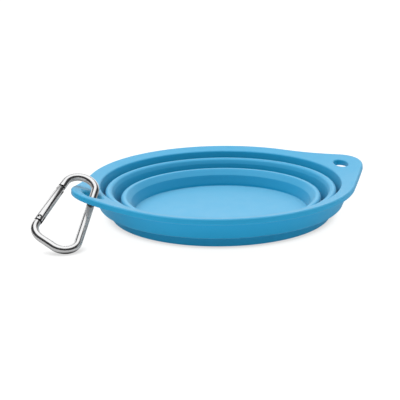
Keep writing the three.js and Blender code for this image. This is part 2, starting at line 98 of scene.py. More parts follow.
class BowlSizes(bpy.types.PropertyGroup):
    """Sizes of the silicone bowl, from the rim inwards"""

    rim_radius: length("Rim radius", "Top of the rim's outer edge", 65.6)
    rim_flare: length("Rim flare", "How far the rim's lower edge stands out past its top", 0.25)
    rim_height: length("Rim height", "Top of the rim above the floor, folded", 17.3)
    flange_width: length("Flange width", "Width of the sloped flange", 6.75)
    flange_thickness: length("Flange thickness", "Thickness of flange and tabs", 3.1)
    flange_slope: number("Flange slope", "Rise of the flange over its run", 0.2)
    outer_wall_draft: length("Outer wall draft", "How far the outer wall leans in down to its groove", 0.9)
    outer_wall_foot: length("Outer wall foot", "Thickness of the outer wall at its foot", 1.4)
    outer_wall_spread: length(
        "Outer wall spread", "Where the outer wall meets the flange, from its inner edge", 3.75
    )
    upper_groove: length("Upper groove", "Width of the upper groove at its bottom", 1.05)
    upper_web_lean: length("Upper web lean", "How far the upper web leans in", 0.5)
    ridge_one_width: length("Outer ridge width", "Width of the outer ridge", 2.9)
    mid_band_width: length("Middle band width", "Run of the sloped band inside the outer ridge", 1.15)
    mid_band_drop: length("Middle band drop", "Fall of the sloped band inside the outer ridge", 2.4)
    mid_wall_draft: length("Middle wall draft", "How far the middle wall leans in down to its groove", 1.2)
    mid_wall_foot: length("Middle wall foot", "Thickness of the middle wall at its foot", 2.7)
    lower_groove: length("Lower groove", "Width of the lower groove at its bottom", 1.25)
    lower_web_lean: length("Lower web lean", "How far the lower web leans in", 1.0)
    ridge_two_width: length("Inner ridge width", "Width of the inner ridge", 2.6)
    inner_band_width: length("Inner band width", "Run of the sloped band inside the inner ridge", 2.4)
    inner_band_drop: length("Inner band drop", "Fall of the sloped band inside the inner ridge", 2.7)
    inner_wall_draft: length("Inner wall draft", "How far the inner wall leans in down to the floor", 1.2)
    base_wall_foot: length("Base wall foot", "How far the base face goes past the floor's edge", 1.2)
    web_thickness: length("Web thickness", "Thickness of the folding webs", 1.2)
    slit_width: length("Slit width", "Gap behind a web, under its ridge", 1.0)
    slit_rise: length("Slit rise", "How far that gap goes up into the ridge", 0.35)
    floor_thickness: length("Floor thickness", "Thickness of floor and valleys", 1.75)
    ridge_depth: length("Ridge depth", "Height of a ridge above the end of its web", 1.85)
    edge_round: length("Edge rounding", "Rounding of the rim's edges", 0.9)
    foot_round: length("Foot rounding", "Rounding under the valleys", 1.4)
    ridge_round: length("Ridge rounding", "Rounding of the ridges' outer sides", 1.25)
    ridge_one_round: length("Outer ridge shoulder", "Rounding of the outer ridge's inner side", 1.8)
    ridge_two_round: length("Inner ridge shoulder", "Rounding of the inner ridge's inner side", 0.9)
    groove_round: length("Groove rounding", "Rounding of the grooves", 0.45)
    floor_round: length("Floor rounding", "Rounding where wall and floor meet", 0.3)
    floor_step: length("Floor step", "Upright step at the floor's edge", 1.2)
    seam: length("Fold seam", "Clear gap left at a fold line", 0.02)
    tab_reach: length("Tab reach", "How far a tab's tip stands out past the rim", 10.1)
    tab_round: length("Tab rounding", "Radius of a tab's tip", 21.0)
    slot_from_tip: length("Slot from tip", "Middle of the slot from the tab's tip", 9.2)
    slot_half_length: length("Slot half length", "Half of the slot's length across the tab", 6.05)
    slot_half_width: length("Slot half width", "Half of the slot's width along the tab", 2.7)
    slot_edge: length("Slot edge", "Rounding of the free slot's edges", 0.6)
    slot_widen: length("Slot widening", "How far the rod widens its slot at each side", 1.5)
    slot_lengthen: length("Slot lengthening", "How far the rod lengthens its slot at each end", 0.45)
    tab_lift: length("Tab lift", "How far the carabiner lifts its tab's tip", 1.6)
    lift_reach: length("Lift reach", "Length of the part of the tab that is lifted", 15.5)
    lift_half_angle: FloatProperty(
        name="Lift half angle", description="Half of the lifted part's angle", default=0.9, subtype="ANGLE"
    )
    turns: IntProperty(name="Steps", description="Steps round a turned piece", default=240, min=24)


class CarabinerSizes(bpy.types.PropertyGroup):
    """Sizes of the carabiner, in its own plane"""

    rod_radius: length("Rod radius", "Radius of the rod", 1.9)
    gate_radius: length("Gate radius", "Radius of the gate", 2.1)
    spine_foot: length("Spine foot", "Where the spine crosses the slot, from the slot's middle", 0.4)
    spine_angle: angle("Spine angle", "Angle of the spine in the carabiner's plane", 30.7)
    gate_angle: angle("Gate angle", "Angle of the gate in the carabiner's plane", 41.9)
    bar_angle: angle("Bar angle", "Angle of the lower bar in the carabiner's plane", 57.0)
    bow_radius: length("Bow radius", "Radius of the upper bend", 7.5)
    spine_to_bow: length("Spine to bow", "Straight spine above the slot", 4.3)
    spine_to_corner: length("Spine to corner", "Spine below the slot, to its corner with the bar", 43.3)
    spine_bend: length("Spine bend", "Radius of the bend between spine and bar", 7.0)
    hinge_bend: length("Hinge bend", "Radius of the bend between bar and gate", 8.2)
    hinge_shoulder: length("Hinge shoulder", "Straight rod after the hinge bend", 0.6)
    hinge_gap: length("Hinge gap", "Gap between rod and gate at the hinge", 0.7)
    pivot_up: length("Pivot", "Pin from the end of the hinge bend", 3.2)
    nose_length: length("Nose length", "Straight rod after the bow", 4.4)
    nose_gap: length("Nose gap", "Gap between gate and nose", 1.1)
    tongue_thickness: length("Tongue thickness", "Thickness of hinge tongue and nose blade", 1.0)
    tongue_round: length("Tongue rounding", "Radius of the tongue round the pin", 1.55)
    tongue_half_width: length("Tongue half width", "Half of the tongue's width", 1.4)
    tongue_root: length("Tongue root", "How far tongue and blade go into the rod", 1.2)
    clearance: length("Clearance", "Clear gap at each side of tongue, blade and pin", 0.3)
    hinge_slot: length("Hinge slot", "Depth of the gate's hinge slot", 4.3)
    latch_slot: length("Latch slot", "Depth of the gate's latch slot", 3.6)
    bore_radius: length("Bore radius", "Radius of the gate's bore for its spring", 1.25)
    bore_length: length("Bore length", "Depth of that bore past the hinge slot", 9.0)
    blade_length: length("Blade length", "Length of the nose blade", 2.9)
    blade_half_width: length("Blade half width", "Half of the blade's width", 0.8)
    blade_head: length("Blade head", "Radius of the blade's head", 1.15)
    notch_depth: length("Notch depth", "Depth of the notch in the gate", 1.2)
    notch_half_width: length("Notch half width", "Half of the notch's width", 1.2)
    pin_radius: length("Pin radius", "Radius of the hinge pin", 0.65)
    pin_length: length("Pin length", "Length of the hinge pin", 3.5)
    pin_edge: length("Pin edge", "Rounding of the pin's ends", 0.2)
    edge: length("Edge", "Rounding of cut edges", 0.12)
    sides: IntProperty(name="Sides", description="Sides of the round rod", default=40, min=8)


class Finishes(bpy.types.PropertyGroup):
    """Colours of the silicone and the metals"""

    silicone: tint("Silicone", "Colour of the bowl", (0.01, 0.4, 0.73))
    # Painted sheen: a paler tone for upward faces, standing in for the white surroundings that they reflect
    silicone_painted_sheen: tint("Silicone bloom", "Paler, highlit tone of the upward faces", (0.135, 0.55, 0.87))
    mirrored_silicone: tint("Mirrored silicone", "The bowl as the metal mirrors it", (0.48, 0.485, 0.49))
    bounced_silicone: tint("Bounced silicone", "Light thrown into the bowl's folds", (0.08, 0.45, 0.62))
    rod: tint("Rod", "Colour of the polished rod", (0.94, 0.94, 0.945))
    steel: tint("Steel", "Colour of spring and plunger", (0.55, 0.56, 0.58))


class StageSettings(bpy.types.PropertyGroup):
    """Camera, lights and floor"""

    elevation: angle("Elevation", "Camera's height over the horizon", 16.61)
    azimuth: angle("Azimuth", "Camera's turn round the bowl", -23.0)
    roll: angle("Roll", "Camera's roll", 0.87)
    distance: FloatProperty(name="Distance", description="Camera to bowl", default=0.8, unit="LENGTH")
    focal: number("Focal length", "Focal length in picture widths", 4.0675)
    offset_x: number("Offset across", "Bowl's place in picture widths", 0.052)
    offset_y: number("Offset up", "Bowl's place in picture widths", -0.0333)
    sky: number("Sky", "Strength of the light from all round", 0.62)
    lamp_power: FloatProperty(
        name="Lamp power", description="Power of both lamps", default=6.0, unit="POWER"
    )


def sizes():
    return bpy.context.scene.pet_bowl_sizes


def clip_sizes():
    return bpy.context.scene.pet_bowl_clip


def finishes():
    return bpy.context.scene.pet_bowl_finishes


# Fineness of the meshes: steps, and angles in degrees

MERGE_DISTANCE = 1e-6
ARC_STEP = math.radians(9)
RUN_STEP = 1.5 * MM
RIM_STEP = 1.0 * MM
WEB_STEP = 0.35 * MM
BEND_DEGREES = 4
TONGUE_STEPS = 24
SLOT_CORNERS = 72
SLOT_ARC_DEGREES = 10
SLOT_ARC_POINTS = 10
SOFT_SEGMENTS = 3
SOFT_LIMIT = 35.0
SILICONE_SMOOTH = 40.0
METAL_SMOOTH = 30.0


# Modelling helpers

def deselect_all():
    if bpy.context.object and bpy.context.object.mode != "OBJECT":
        bpy.ops.object.mode_set(mode="OBJECT")
    bpy.ops.object.select_all(action="DESELECT")


def make_active(piece):
    deselect_all()
    piece.select_set(True)
    bpy.context.view_layer.objects.active = piece


def edit_all(piece):
    make_active(piece)
    bpy.ops.object.mode_set(mode="EDIT")
    bpy.ops.mesh.select_all(action="SELECT")


def close_mesh(piece):
    """Merges doubles and turns the faces outwards."""
    edit_all(piece)
    bpy.ops.mesh.remove_doubles(threshold=MERGE_DISTANCE)
    bpy.ops.mesh.delete_loose()
    bpy.ops.mesh.select_all(action="SELECT")
    bpy.ops.mesh.normals_make_consistent(inside=False)
    bpy.ops.object.mode_set(mode="OBJECT")


def shade(piece, limit=SILICONE_SMOOTH):
    """Smooths the faces that meet at less than a limit in degrees."""
    make_active(piece)
    bpy.ops.object.shade_smooth_by_angle(angle=math.radians(limit))


def dress(piece, material, node):
    """Gives a piece its material and hides the frame node that it stands in for."""
    piece.data.materials.clear()
    piece.data.materials.append(material)
    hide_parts(node)


def loop_of(name, points, filled=False):
    """A closed chain of points, from a circle with as many corners."""
    deselect_all()
    fill = "NGON" if filled else "NOTHING"
    bpy.ops.mesh.primitive_circle_add(vertices=len(points), radius=MM, fill_type=fill)
    piece = bpy.context.object
    piece.name = name
    piece.data.name = name
    for vertex, point in zip(piece.data.vertices, points):
        vertex.co = point
    return piece


def rounded(corners, closed=True, longest=RUN_STEP):
    """Points along corners (radius, height, rounding): roundings as arcs, straight runs split."""
    count = len(corners)
    stretches = []
    for i, (x, y, radius) in enumerate(corners):
        here = Vector((x, y))
        if not radius or (not closed and i in (0, count - 1)):
            stretches.append([here])
            continue
        back = (Vector(corners[i - 1][:2]) - here).normalized()
        on = (Vector(corners[(i + 1) % count][:2]) - here).normalized()
        half = 0.5 * back.angle(on)
        centre = here + (back + on).normalized() * (radius / math.sin(half))
        first = here + back * (radius / math.tan(half)) - centre
        sweep = math.pi - 2 * half
        if back.x * on.y - back.y * on.x > 0:
            sweep = -sweep
        steps = max(2, round(abs(sweep) / ARC_STEP))
        turns = [Matrix.Rotation(sweep * k / steps, 2) for k in range(steps + 1)]
        stretches.append([centre + turn @ first for turn in turns])
    points = []
    for i, stretch in enumerate(stretches):
        points.extend(stretch)
        if not closed and i == count - 1:
            break
        a, b = stretch[-1], stretches[(i + 1) % count][0]
        splits = math.ceil((b - a).length / longest)
        points.extend(a.lerp(b, k / splits) for k in range(1, splits))
    return points


def turned(name, profile, closed=True):
    """A profile of (radius, height) points spun once round the bowl's axis."""
    piece = loop_of(name, [(p.x, 0.0, p.y) for p in profile])
    if not closed:
        last = len(profile) - 1
        edit_all(piece)
        bpy.ops.mesh.select_all(action="DESELECT")
        bpy.ops.object.mode_set(mode="OBJECT")
        for edge in piece.data.edges:
            edge.select = set(edge.vertices) == {0, last}
        bpy.ops.object.mode_set(mode="EDIT")
        bpy.ops.mesh.select_mode(type="EDGE")
        bpy.ops.mesh.delete(type="EDGE")
        bpy.ops.mesh.select_mode(type="VERT")
    edit_all(piece)
    bpy.ops.mesh.spin(steps=sizes().turns, angle=2 * math.pi, center=(0, 0, 0), axis=(0, 0, 1))
    close_mesh(piece)
    return piece


def boolean(piece, tool, operation):
    """Joins a tool to a piece or cuts it out, and removes the tool."""
    make_active(piece)
    modifier = piece.modifiers.new("Join", "BOOLEAN")
    modifier.object = tool
    modifier.operation = operation
    modifier.solver = "EXACT"
    bpy.ops.object.modifier_apply(modifier=modifier.name)
    bpy.data.objects.remove(tool)


def soften(piece, width):
    """Rounds the cut edges of a piece."""
    make_active(piece)
    modifier = piece.modifiers.new("Soften", "BEVEL")
    modifier.width = width
    modifier.segments = SOFT_SEGMENTS
    modifier.limit_method = "ANGLE"
    modifier.angle_limit = math.radians(SOFT_LIMIT)
    bpy.ops.object.modifier_apply(modifier=modifier.name)


# Values of the finishes: noise scales per metre, ranges from low to high

NOISE_BAND = (0.3, 0.7)
AO_SAMPLES = 8
# Painted sheen: the upward slope where the paler tone starts, then slopes with their shares of it
PAINTED_SHEEN_FROM = 0.15
PAINTED_SHEEN_STEPS = ((0.7, 0.5), (0.985, 0.56))
CLOUD_SCALE = 45.0
CLOUD_SHARES = (0.92, 1.0)
SATIN_SCALE = 140.0
SATIN_ROUGHNESS = (0.36, 0.44)
SATIN_SPECULAR = 0.35
SHEEN_WEIGHT = 0.1
SHEEN_ROUGHNESS = 0.5
GRAIN_SCALE = 5200.0
GRAIN_DETAIL = 2.0
GRAIN_STRENGTH = 0.12
GRAIN_DEPTH = 0.03 * MM
MARK_SCALE = 260.0
MARK_DETAIL = 4.0
MARK_SHARES = (0.8, 1.35)
LINE_DETAIL = 2.0
LINE_STRENGTH = 0.05
LINE_DEPTH = 0.02 * MM
JOINT_REACH = 2 * MM
# Near black that the metal goes to where another surface lies close by, and the openness over which it
# fades in
NEAR_PART_BAND = (0.5, 0.95)
NEAR_PART_DARK = (0.02, 0.02, 0.02, 1.0)
ROD_ROUGHNESS = 0.15
ROD_LINES = 3000.0
STEEL_ROUGHNESS = 0.3
STEEL_LINES = 6000.0


# Materials

def new_material(name):
    material = bpy.data.materials.new(name)
    material.use_nodes = True
    return material, material.node_tree.nodes, material.node_tree.links


def noise(nodes, links, coordinates, scale, detail=3.0):
    texture = nodes.new("ShaderNodeTexNoise")
    texture.inputs["Scale"].default_value = scale
    texture.inputs["Detail"].default_value = detail
    links.new(coordinates, texture.inputs["Vector"])
    return texture.outputs["Fac"]


def feed(links, socket, value):
    """Gives an input a constant, or a link from another node."""
    if isinstance(value, bpy.types.NodeSocket):
        links.new(value, socket)
    else:
        socket.default_value = value


def map_range(nodes, links, value, given, wanted=(0.0, 1.0), smooth=False):
    """Maps a value from one range to another."""
    mapped = nodes.new("ShaderNodeMapRange")
    if smooth:
        mapped.interpolation_type = "SMOOTHSTEP"
    names = ("From Min", "From Max", "To Min", "To Max")
    for name, limit in zip(names, (*given, *wanted)):
        mapped.inputs[name].default_value = limit
    links.new(value, mapped.inputs["Value"])
    return mapped.outputs["Result"]


def combine(nodes, links, operation, first, second):
    """Works one number out of two."""
    node = nodes.new("ShaderNodeMath")
    node.operation = operation
    links.new(first, node.inputs[0])
    links.new(second, node.inputs[1])
    return node.outputs[0]


def rgba(colour):
    return (*colour, 1.0)


def mix_colours(nodes, links, factor, first, second):
    """Goes from one colour to another as the factor rises."""
    mix = nodes.new("ShaderNodeMix")
    mix.data_type = "RGBA"
    links.new(factor, mix.inputs["Factor"])
    feed(links, mix.inputs["A"], first)
    feed(links, mix.inputs["B"], second)
    return mix.outputs["Result"]


def mix_shaders(nodes, links, factor, first, second):
    """Goes from one shader to another as the factor rises."""
    mix = nodes.new("ShaderNodeMixShader")
    links.new(factor, mix.inputs["Fac"])
    links.new(first, mix.inputs[1])
    links.new(second, mix.inputs[2])
    return mix.outputs[0]


def openness(nodes, reach):
    """How open a place is: low where something else lies within reach."""
    node = nodes.new("ShaderNodeAmbientOcclusion")
    node.samples = AO_SAMPLES
    node.inputs["Distance"].default_value = reach
    return node.outputs["AO"]


def bumped(nodes, links, height, strength, distance):
    bump = nodes.new("ShaderNodeBump")
    bump.inputs["Strength"].default_value = strength
    bump.inputs["Distance"].default_value = distance
    links.new(height, bump.inputs["Height"])
    return bump.outputs["Normal"]


def silicone_material():
    """Soft satin silicone: upward faces made paler by a painted sheen, faint clouding of that sheen, a fine
    moulded grain and a faint sheen lobe.
    """
    made = bpy.data.materials.get("satin_silicone")
    if made:
        return made
    material, nodes, links = new_material("satin_silicone")
    shader = nodes["Principled BSDF"]
    place = nodes.new("ShaderNodeTexCoord").outputs["Object"]
    facing = nodes.new("ShaderNodeSeparateXYZ")
    links.new(nodes.new("ShaderNodeNewGeometry").outputs["Normal"], facing.inputs[0])
    # Painted sheen: the share of the paler tone rises as a face points further up
    upward = nodes.new("ShaderNodeValToRGB")
    upward.color_ramp.elements[0].position = PAINTED_SHEEN_FROM
    upward.color_ramp.elements[1].position = 1.0
    for slope, share in PAINTED_SHEEN_STEPS:
        upward.color_ramp.elements.new(slope).color = (share, share, share, 1.0)
    links.new(facing.outputs["Z"], upward.inputs["Fac"])
    clouds = map_range(nodes, links, noise(nodes, links, place, CLOUD_SCALE), NOISE_BAND, CLOUD_SHARES)
    painted_sheen = combine(nodes, links, "MULTIPLY", upward.outputs["Color"], clouds)
    f = finishes()
    shown = mix_colours(nodes, links, painted_sheen, rgba(f.silicone), rgba(f.silicone_painted_sheen))
    path = nodes.new("ShaderNodeLightPath").outputs
    shown = mix_colours(nodes, links, path["Is Glossy Ray"], shown, rgba(f.mirrored_silicone))
    shown = mix_colours(nodes, links, path["Is Diffuse Ray"], shown, rgba(f.bounced_silicone))
    links.new(shown, shader.inputs["Base Color"])
    patches = noise(nodes, links, place, SATIN_SCALE)
    satin = map_range(nodes, links, patches, NOISE_BAND, SATIN_ROUGHNESS)
    links.new(satin, shader.inputs["Roughness"])
    grain = noise(nodes, links, place, GRAIN_SCALE, GRAIN_DETAIL)
    links.new(bumped(nodes, links, grain, GRAIN_STRENGTH, GRAIN_DEPTH), shader.inputs["Normal"])
    shader.inputs["Specular IOR Level"].default_value = SATIN_SPECULAR
    shader.inputs["Sheen Weight"].default_value = SHEEN_WEIGHT
    shader.inputs["Sheen Roughness"].default_value = SHEEN_ROUGHNESS
    return material


def metal_material(name, colour, roughness, streak):
    """Metal with fine polishing lines, faint handling marks and dark joints."""
    made = bpy.data.materials.get(name)
    if made:
        return made
    material, nodes, links = new_material(name)
    shader = nodes["Principled BSDF"]
    place = nodes.new("ShaderNodeTexCoord").outputs["Object"]
    marks = noise(nodes, links, place, MARK_SCALE, MARK_DETAIL)
    worn = [roughness * share for share in MARK_SHARES]
    links.new(map_range(nodes, links, marks, NOISE_BAND, worn), shader.inputs["Roughness"])
    lines = noise(nodes, links, place, streak, LINE_DETAIL)
    links.new(bumped(nodes, links, lines, LINE_STRENGTH, LINE_DEPTH), shader.inputs["Normal"])
    # Darker, towards near black, where another surface lies within the joint reach
    open_share = map_range(nodes, links, openness(nodes, JOINT_REACH), NEAR_PART_BAND)
    links.new(mix_colours(nodes, links, open_share, NEAR_PART_DARK, rgba(colour)), shader.inputs["Base Color"])
    shader.inputs["Metallic"].default_value = 1.0
    return material


def rod_material():
    return metal_material("polished_rod", finishes().rod, ROD_ROUGHNESS, ROD_LINES)


def steel_material():
    return metal_material("spring_steel", finishes().steel, STEEL_ROUGHNESS, STEEL_LINES)


# Shares of the bowl's sizes, and zones in edge roundings

SEAM_SHARE = 0.35
SLIT_ROUND_SHARE = 0.25
RIM_EDGE_ZONE = 1.5
FLANGE_EDGE_ZONE = 1.2
SLOT_PAST = 0.8


# The bowl's outline, worked inwards from the rim

class Radii:
    """Radii of the folds, from the rim inwards."""

    def __init__(self, s):
        self.flange_inner = s.rim_radius - s.flange_width
        self.groove_one = self.flange_inner - s.outer_wall_draft
        self.upper_seam = self.groove_one - SEAM_SHARE * s.upper_groove
        self.web_one = self.groove_one - s.upper_groove
        self.ridge_one_outer = self.web_one - s.upper_web_lean
        self.ridge_one_inner = self.ridge_one_outer - s.ridge_one_width
        self.mid_band = self.ridge_one_inner - s.mid_band_width
        self.groove_two = self.mid_band - s.mid_wall_draft
        self.lower_seam = self.groove_two - SEAM_SHARE * s.lower_groove
        self.web_two = self.groove_two - s.lower_groove
        self.ridge_two_outer = self.web_two - s.lower_web_lean
        self.ridge_two_inner = self.ridge_two_outer - s.ridge_two_width
        self.inner_band = self.ridge_two_inner - s.inner_band_width
        self.floor = self.inner_band - s.inner_wall_draft


class Heights:
    """Heights of ridges and valleys, read from the frame."""

    def __init__(self, s):
        self.ridge_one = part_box("mid_ring")[1].z
        self.ridge_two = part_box("base_cup")[1].z
        self.upper_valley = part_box("rim_band")[0].z
        self.lower_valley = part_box("mid_ring")[0].z
        self.lip_one = self.ridge_one - s.ridge_depth
        self.lip_two = self.ridge_two - s.ridge_depth


def flange_height(s, radius):
    return s.rim_height + s.flange_slope * (radius - s.rim_radius)


def tab_outline(s, turn):
    """Radius of rim and tabs in a direction: the rim circle and the two tip circles in one taut line."""
    tip_centre = s.rim_radius + s.tab_reach - s.tab_round
    tangent = math.acos((s.rim_radius - s.tab_round) / tip_centre)
    touch = math.atan2(s.tab_round * math.sin(tangent), tip_centre + s.tab_round * math.cos(tangent))
    off = abs(math.asin(max(-1.0, min(1.0, math.sin(turn)))))
    if off >= tangent:
        return s.rim_radius
    if off >= touch:
        return s.rim_radius / math.cos(tangent - off)
    side = tip_centre * math.sin(off)
    return tip_centre * math.cos(off) + math.sqrt(s.tab_round**2 - side**2)


def tab_lift(s, turn, radius):
    """How far the carabiner lifts its tab at a point."""
    off = math.pi - abs(math.atan2(math.sin(turn), math.cos(turn)))
    out = (radius - s.rim_radius - s.tab_reach) / s.lift_reach + 1.0
    if off >= s.lift_half_angle or out <= 0.0:
        return 0.0
    return s.tab_lift * out * math.cos(0.5 * math.pi * off / s.lift_half_angle) ** 2


def ridge_corners(s, outer, lip, height):
    """The outside of a ridge: the slit behind its web, its lip and its outer shoulder."""
    slit_outer = outer - s.web_thickness
    slit_round = SLIT_ROUND_SHARE * s.slit_width
    return [
        (slit_outer - s.slit_width, lip + s.slit_rise, slit_round),
        (slit_outer, lip + s.slit_rise, slit_round),
        (slit_outer, lip, 0),
        (outer, lip, 0),
        (outer, height, s.ridge_round),
    ]


# Operators: the bowl

class BuildBaseCup(bpy.types.Operator):
    """Floor, inner wall and inner ridge"""

    bl_idname = "pet_bowl.base_cup"
    bl_label = "Base cup"

    def execute(self, context):
        s = sizes()
        r, h = Radii(s), Heights(s)
        corners = [
            (0, 0, 0),
            (r.floor + s.base_wall_foot, 0, s.edge_round),
            *ridge_corners(s, r.ridge_two_outer, h.lip_two, h.ridge_two),
            (r.ridge_two_inner, h.ridge_two, s.ridge_two_round),
            (r.inner_band, h.ridge_two - s.inner_band_drop, s.edge_round),
            (r.floor, s.floor_thickness + s.floor_step, s.floor_round),
            (r.floor, s.floor_thickness, s.floor_round),
            (0, s.floor_thickness, 0),
        ]
        piece = turned("silicone_base_cup", rounded(corners, closed=False), closed=False)
        shade(piece)
        dress(piece, silicone_material(), "base_cup")
        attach(piece, "base")
        return {"FINISHED"}


class BuildMidRing(bpy.types.Operator):
    """Outer ridge, middle wall and half of the lower valley"""

    bl_idname = "pet_bowl.mid_ring"
    bl_label = "Middle ring"

    def execute(self, context):
        s = sizes()
        r, h = Radii(s), Heights(s)
        valley_top = h.lower_valley + s.floor_thickness
        corners = [
            (r.lower_seam, h.lower_valley, 0),
            (r.groove_two + s.mid_wall_foot, h.lower_valley, s.edge_round),
            *ridge_corners(s, r.ridge_one_outer, h.lip_one, h.ridge_one),
            (r.ridge_one_inner, h.ridge_one, s.ridge_one_round),
            (r.mid_band, h.ridge_one - s.mid_band_drop, s.ridge_one_round),
            (r.groove_two, valley_top, s.groove_round),
            (r.lower_seam, valley_top, 0),
        ]
        piece = turned("silicone_mid_ring", rounded(corners))
        shade(piece)
        dress(piece, silicone_material(), "mid_ring")
        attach(piece, "mid")
        return {"FINISHED"}


class BuildFoldWebs(bpy.types.Operator):
    """The two thin walls that roll over as the bowl opens"""

    bl_idname = "pet_bowl.fold_webs"
    bl_label = "Fold webs"

    def execute(self, context):
        s = sizes()
        r, h = Radii(s), Heights(s)
        self.web(
            s, "upper", r.upper_seam, r.web_one, h.upper_valley, r.ridge_one_outer, h.lip_one,
            "rim", "mid",
        )
        self.web(
            s, "lower", r.lower_seam, r.web_two, h.lower_valley, r.ridge_two_outer, h.lip_two,
            "mid", "base",
        )
        return {"FINISHED"}

    def web(self, s, which, seam, foot, valley, outer, lip, outer_body, inner_body):
        """A wall from the seam in its valley up to the lip of its ridge."""
        inner = outer - s.web_thickness
        valley_top = valley + s.floor_thickness
        end = seam - s.seam
        top = lip - s.seam
        corners = [
            (end, valley, 0),
            (end, valley_top, 0),
            (foot, valley_top, s.groove_round),
            (outer, top, 0),
            (inner, top, 0),
            (inner + foot - outer, valley, s.foot_round),
        ]
        piece = turned(f"silicone_{which}_web", rounded(corners, longest=WEB_STEP))
        shade(piece)
        dress(piece, silicone_material(), f"{which}_fold_web")
        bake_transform(piece)


class BuildRimBand(bpy.types.Operator):
    """Sloped flange with two slotted tabs, rim edge and outer wall"""

    bl_idname = "pet_bowl.rim_band"
    bl_label = "Rim band"

    def execute(self, context):
        s = sizes()
        r, h = Radii(s), Heights(s)
        lower = s.rim_radius + s.rim_flare
        wall_top = r.flange_inner + s.outer_wall_spread
        valley_top = h.upper_valley + s.floor_thickness
        corners = [
            (r.upper_seam, h.upper_valley, 0),
            (r.groove_one + s.outer_wall_foot, h.upper_valley, s.foot_round),
            (wall_top, flange_height(s, wall_top) - s.flange_thickness, s.edge_round),
            (lower, flange_height(s, lower) - s.flange_thickness, s.edge_round),
            (s.rim_radius, s.rim_height, s.edge_round),
            (r.flange_inner, flange_height(s, r.flange_inner), s.edge_round),
            (r.groove_one, valley_top, s.groove_round),
            (r.upper_seam, valley_top, 0),
        ]
        piece = turned("silicone_rim_band", rounded(corners, longest=RIM_STEP))
        for vertex in piece.data.vertices:
            vertex.co = self.drawn_out(s, r, wall_top, vertex.co)
        for side in (-1, 1):
            boolean(piece, self.slot_tool(s, side), "DIFFERENCE")
        shade(piece)
        dress(piece, silicone_material(), "rim_band")
        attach(piece, "rim")
        return {"FINISHED"}

    def drawn_out(self, s, r, wall_top, point):
        """Moves a point of the plain round rim out into the tabs."""
        radius, turn = math.hypot(point.x, point.y), math.atan2(point.y, point.x)
        edge_from = s.rim_radius - RIM_EDGE_ZONE * s.edge_round
        above = point.z > flange_height(s, radius) - 0.5 * s.flange_thickness
        start = (r.flange_inner if above else wall_top) + FLANGE_EDGE_ZONE * s.edge_round
        share = max(0.0, min(1.0, (radius - start) / (edge_from - start)))
        out = radius + share * (tab_outline(s, turn) - s.rim_radius)
        height = point.z + s.flange_slope * (out - radius) + tab_lift(s, turn, out)
        return Vector((out * math.cos(turn), out * math.sin(turn), height))

    def slot_tool(self, s, side):
        """An oval slot, square to the tab's own slope. The rod stretches the one it goes through."""
        held = side < 0
        half = 0.5 * s.flange_thickness
        edge = half if held else s.slot_edge
        width = s.slot_half_width + (s.slot_widen if held else 0.0)
        straight = s.slot_half_length + (s.slot_lengthen if held else 0.0) - width
        turn = math.pi if held else 0.0
        middle = s.rim_radius + s.tab_reach - s.slot_from_tip

        def top(radius):
            return flange_height(s, radius) + tab_lift(s, turn, radius)

        slope = math.atan((top(middle + MM) - top(middle - MM)) / (2 * MM))
        bends = [math.radians(SLOT_ARC_DEGREES * k) for k in range(SLOT_ARC_POINTS)]
        above = [(half - edge + edge * math.sin(b), edge * (1 - math.cos(b))) for b in bends]
        above.append(((1 + SLOT_PAST) * half, edge + SLOT_PAST * half))
        below = [(-height, flare) for height, flare in reversed(above)]
        levels = [*below[:-1], *above] if held else [*below, *above]

        def loop(height, flare):
            points = []
            for k in range(SLOT_CORNERS):
                a = 2 * math.pi * (k + 0.5) / SLOT_CORNERS
                across = math.copysign(1, math.sin(a)) if held else math.sin(a)
                y = (width + flare) * math.sin(a) + across * straight
                points.append(Vector(((width + flare) * math.cos(a), y, height)))
            return points

        tool = loop_of("slot_tool", loop(*levels[0]), filled=True)
        for level in levels[1:]:
            if level == levels[1]:
                edit_all(tool)
            else:
                bpy.ops.object.mode_set(mode="EDIT")
            bpy.ops.mesh.extrude_region_move()
            bpy.ops.object.mode_set(mode="OBJECT")
            ends = [v for v in tool.data.vertices if v.select]
            for vertex, point in zip(ends, loop(*level)):
                vertex.co = point
        close_mesh(tool)
        tool.data.transform(Matrix.Rotation(-side * slope, 4, "Y"))
        height = top(middle) - half / math.cos(slope)
        tool.data.transform(Matrix.Translation((side * middle, 0, height)))
        return tool


# Half of a cutting tool's span across the carabiner, in rod radii

CUT_REACH = 1.5


# Operators: the carabiner

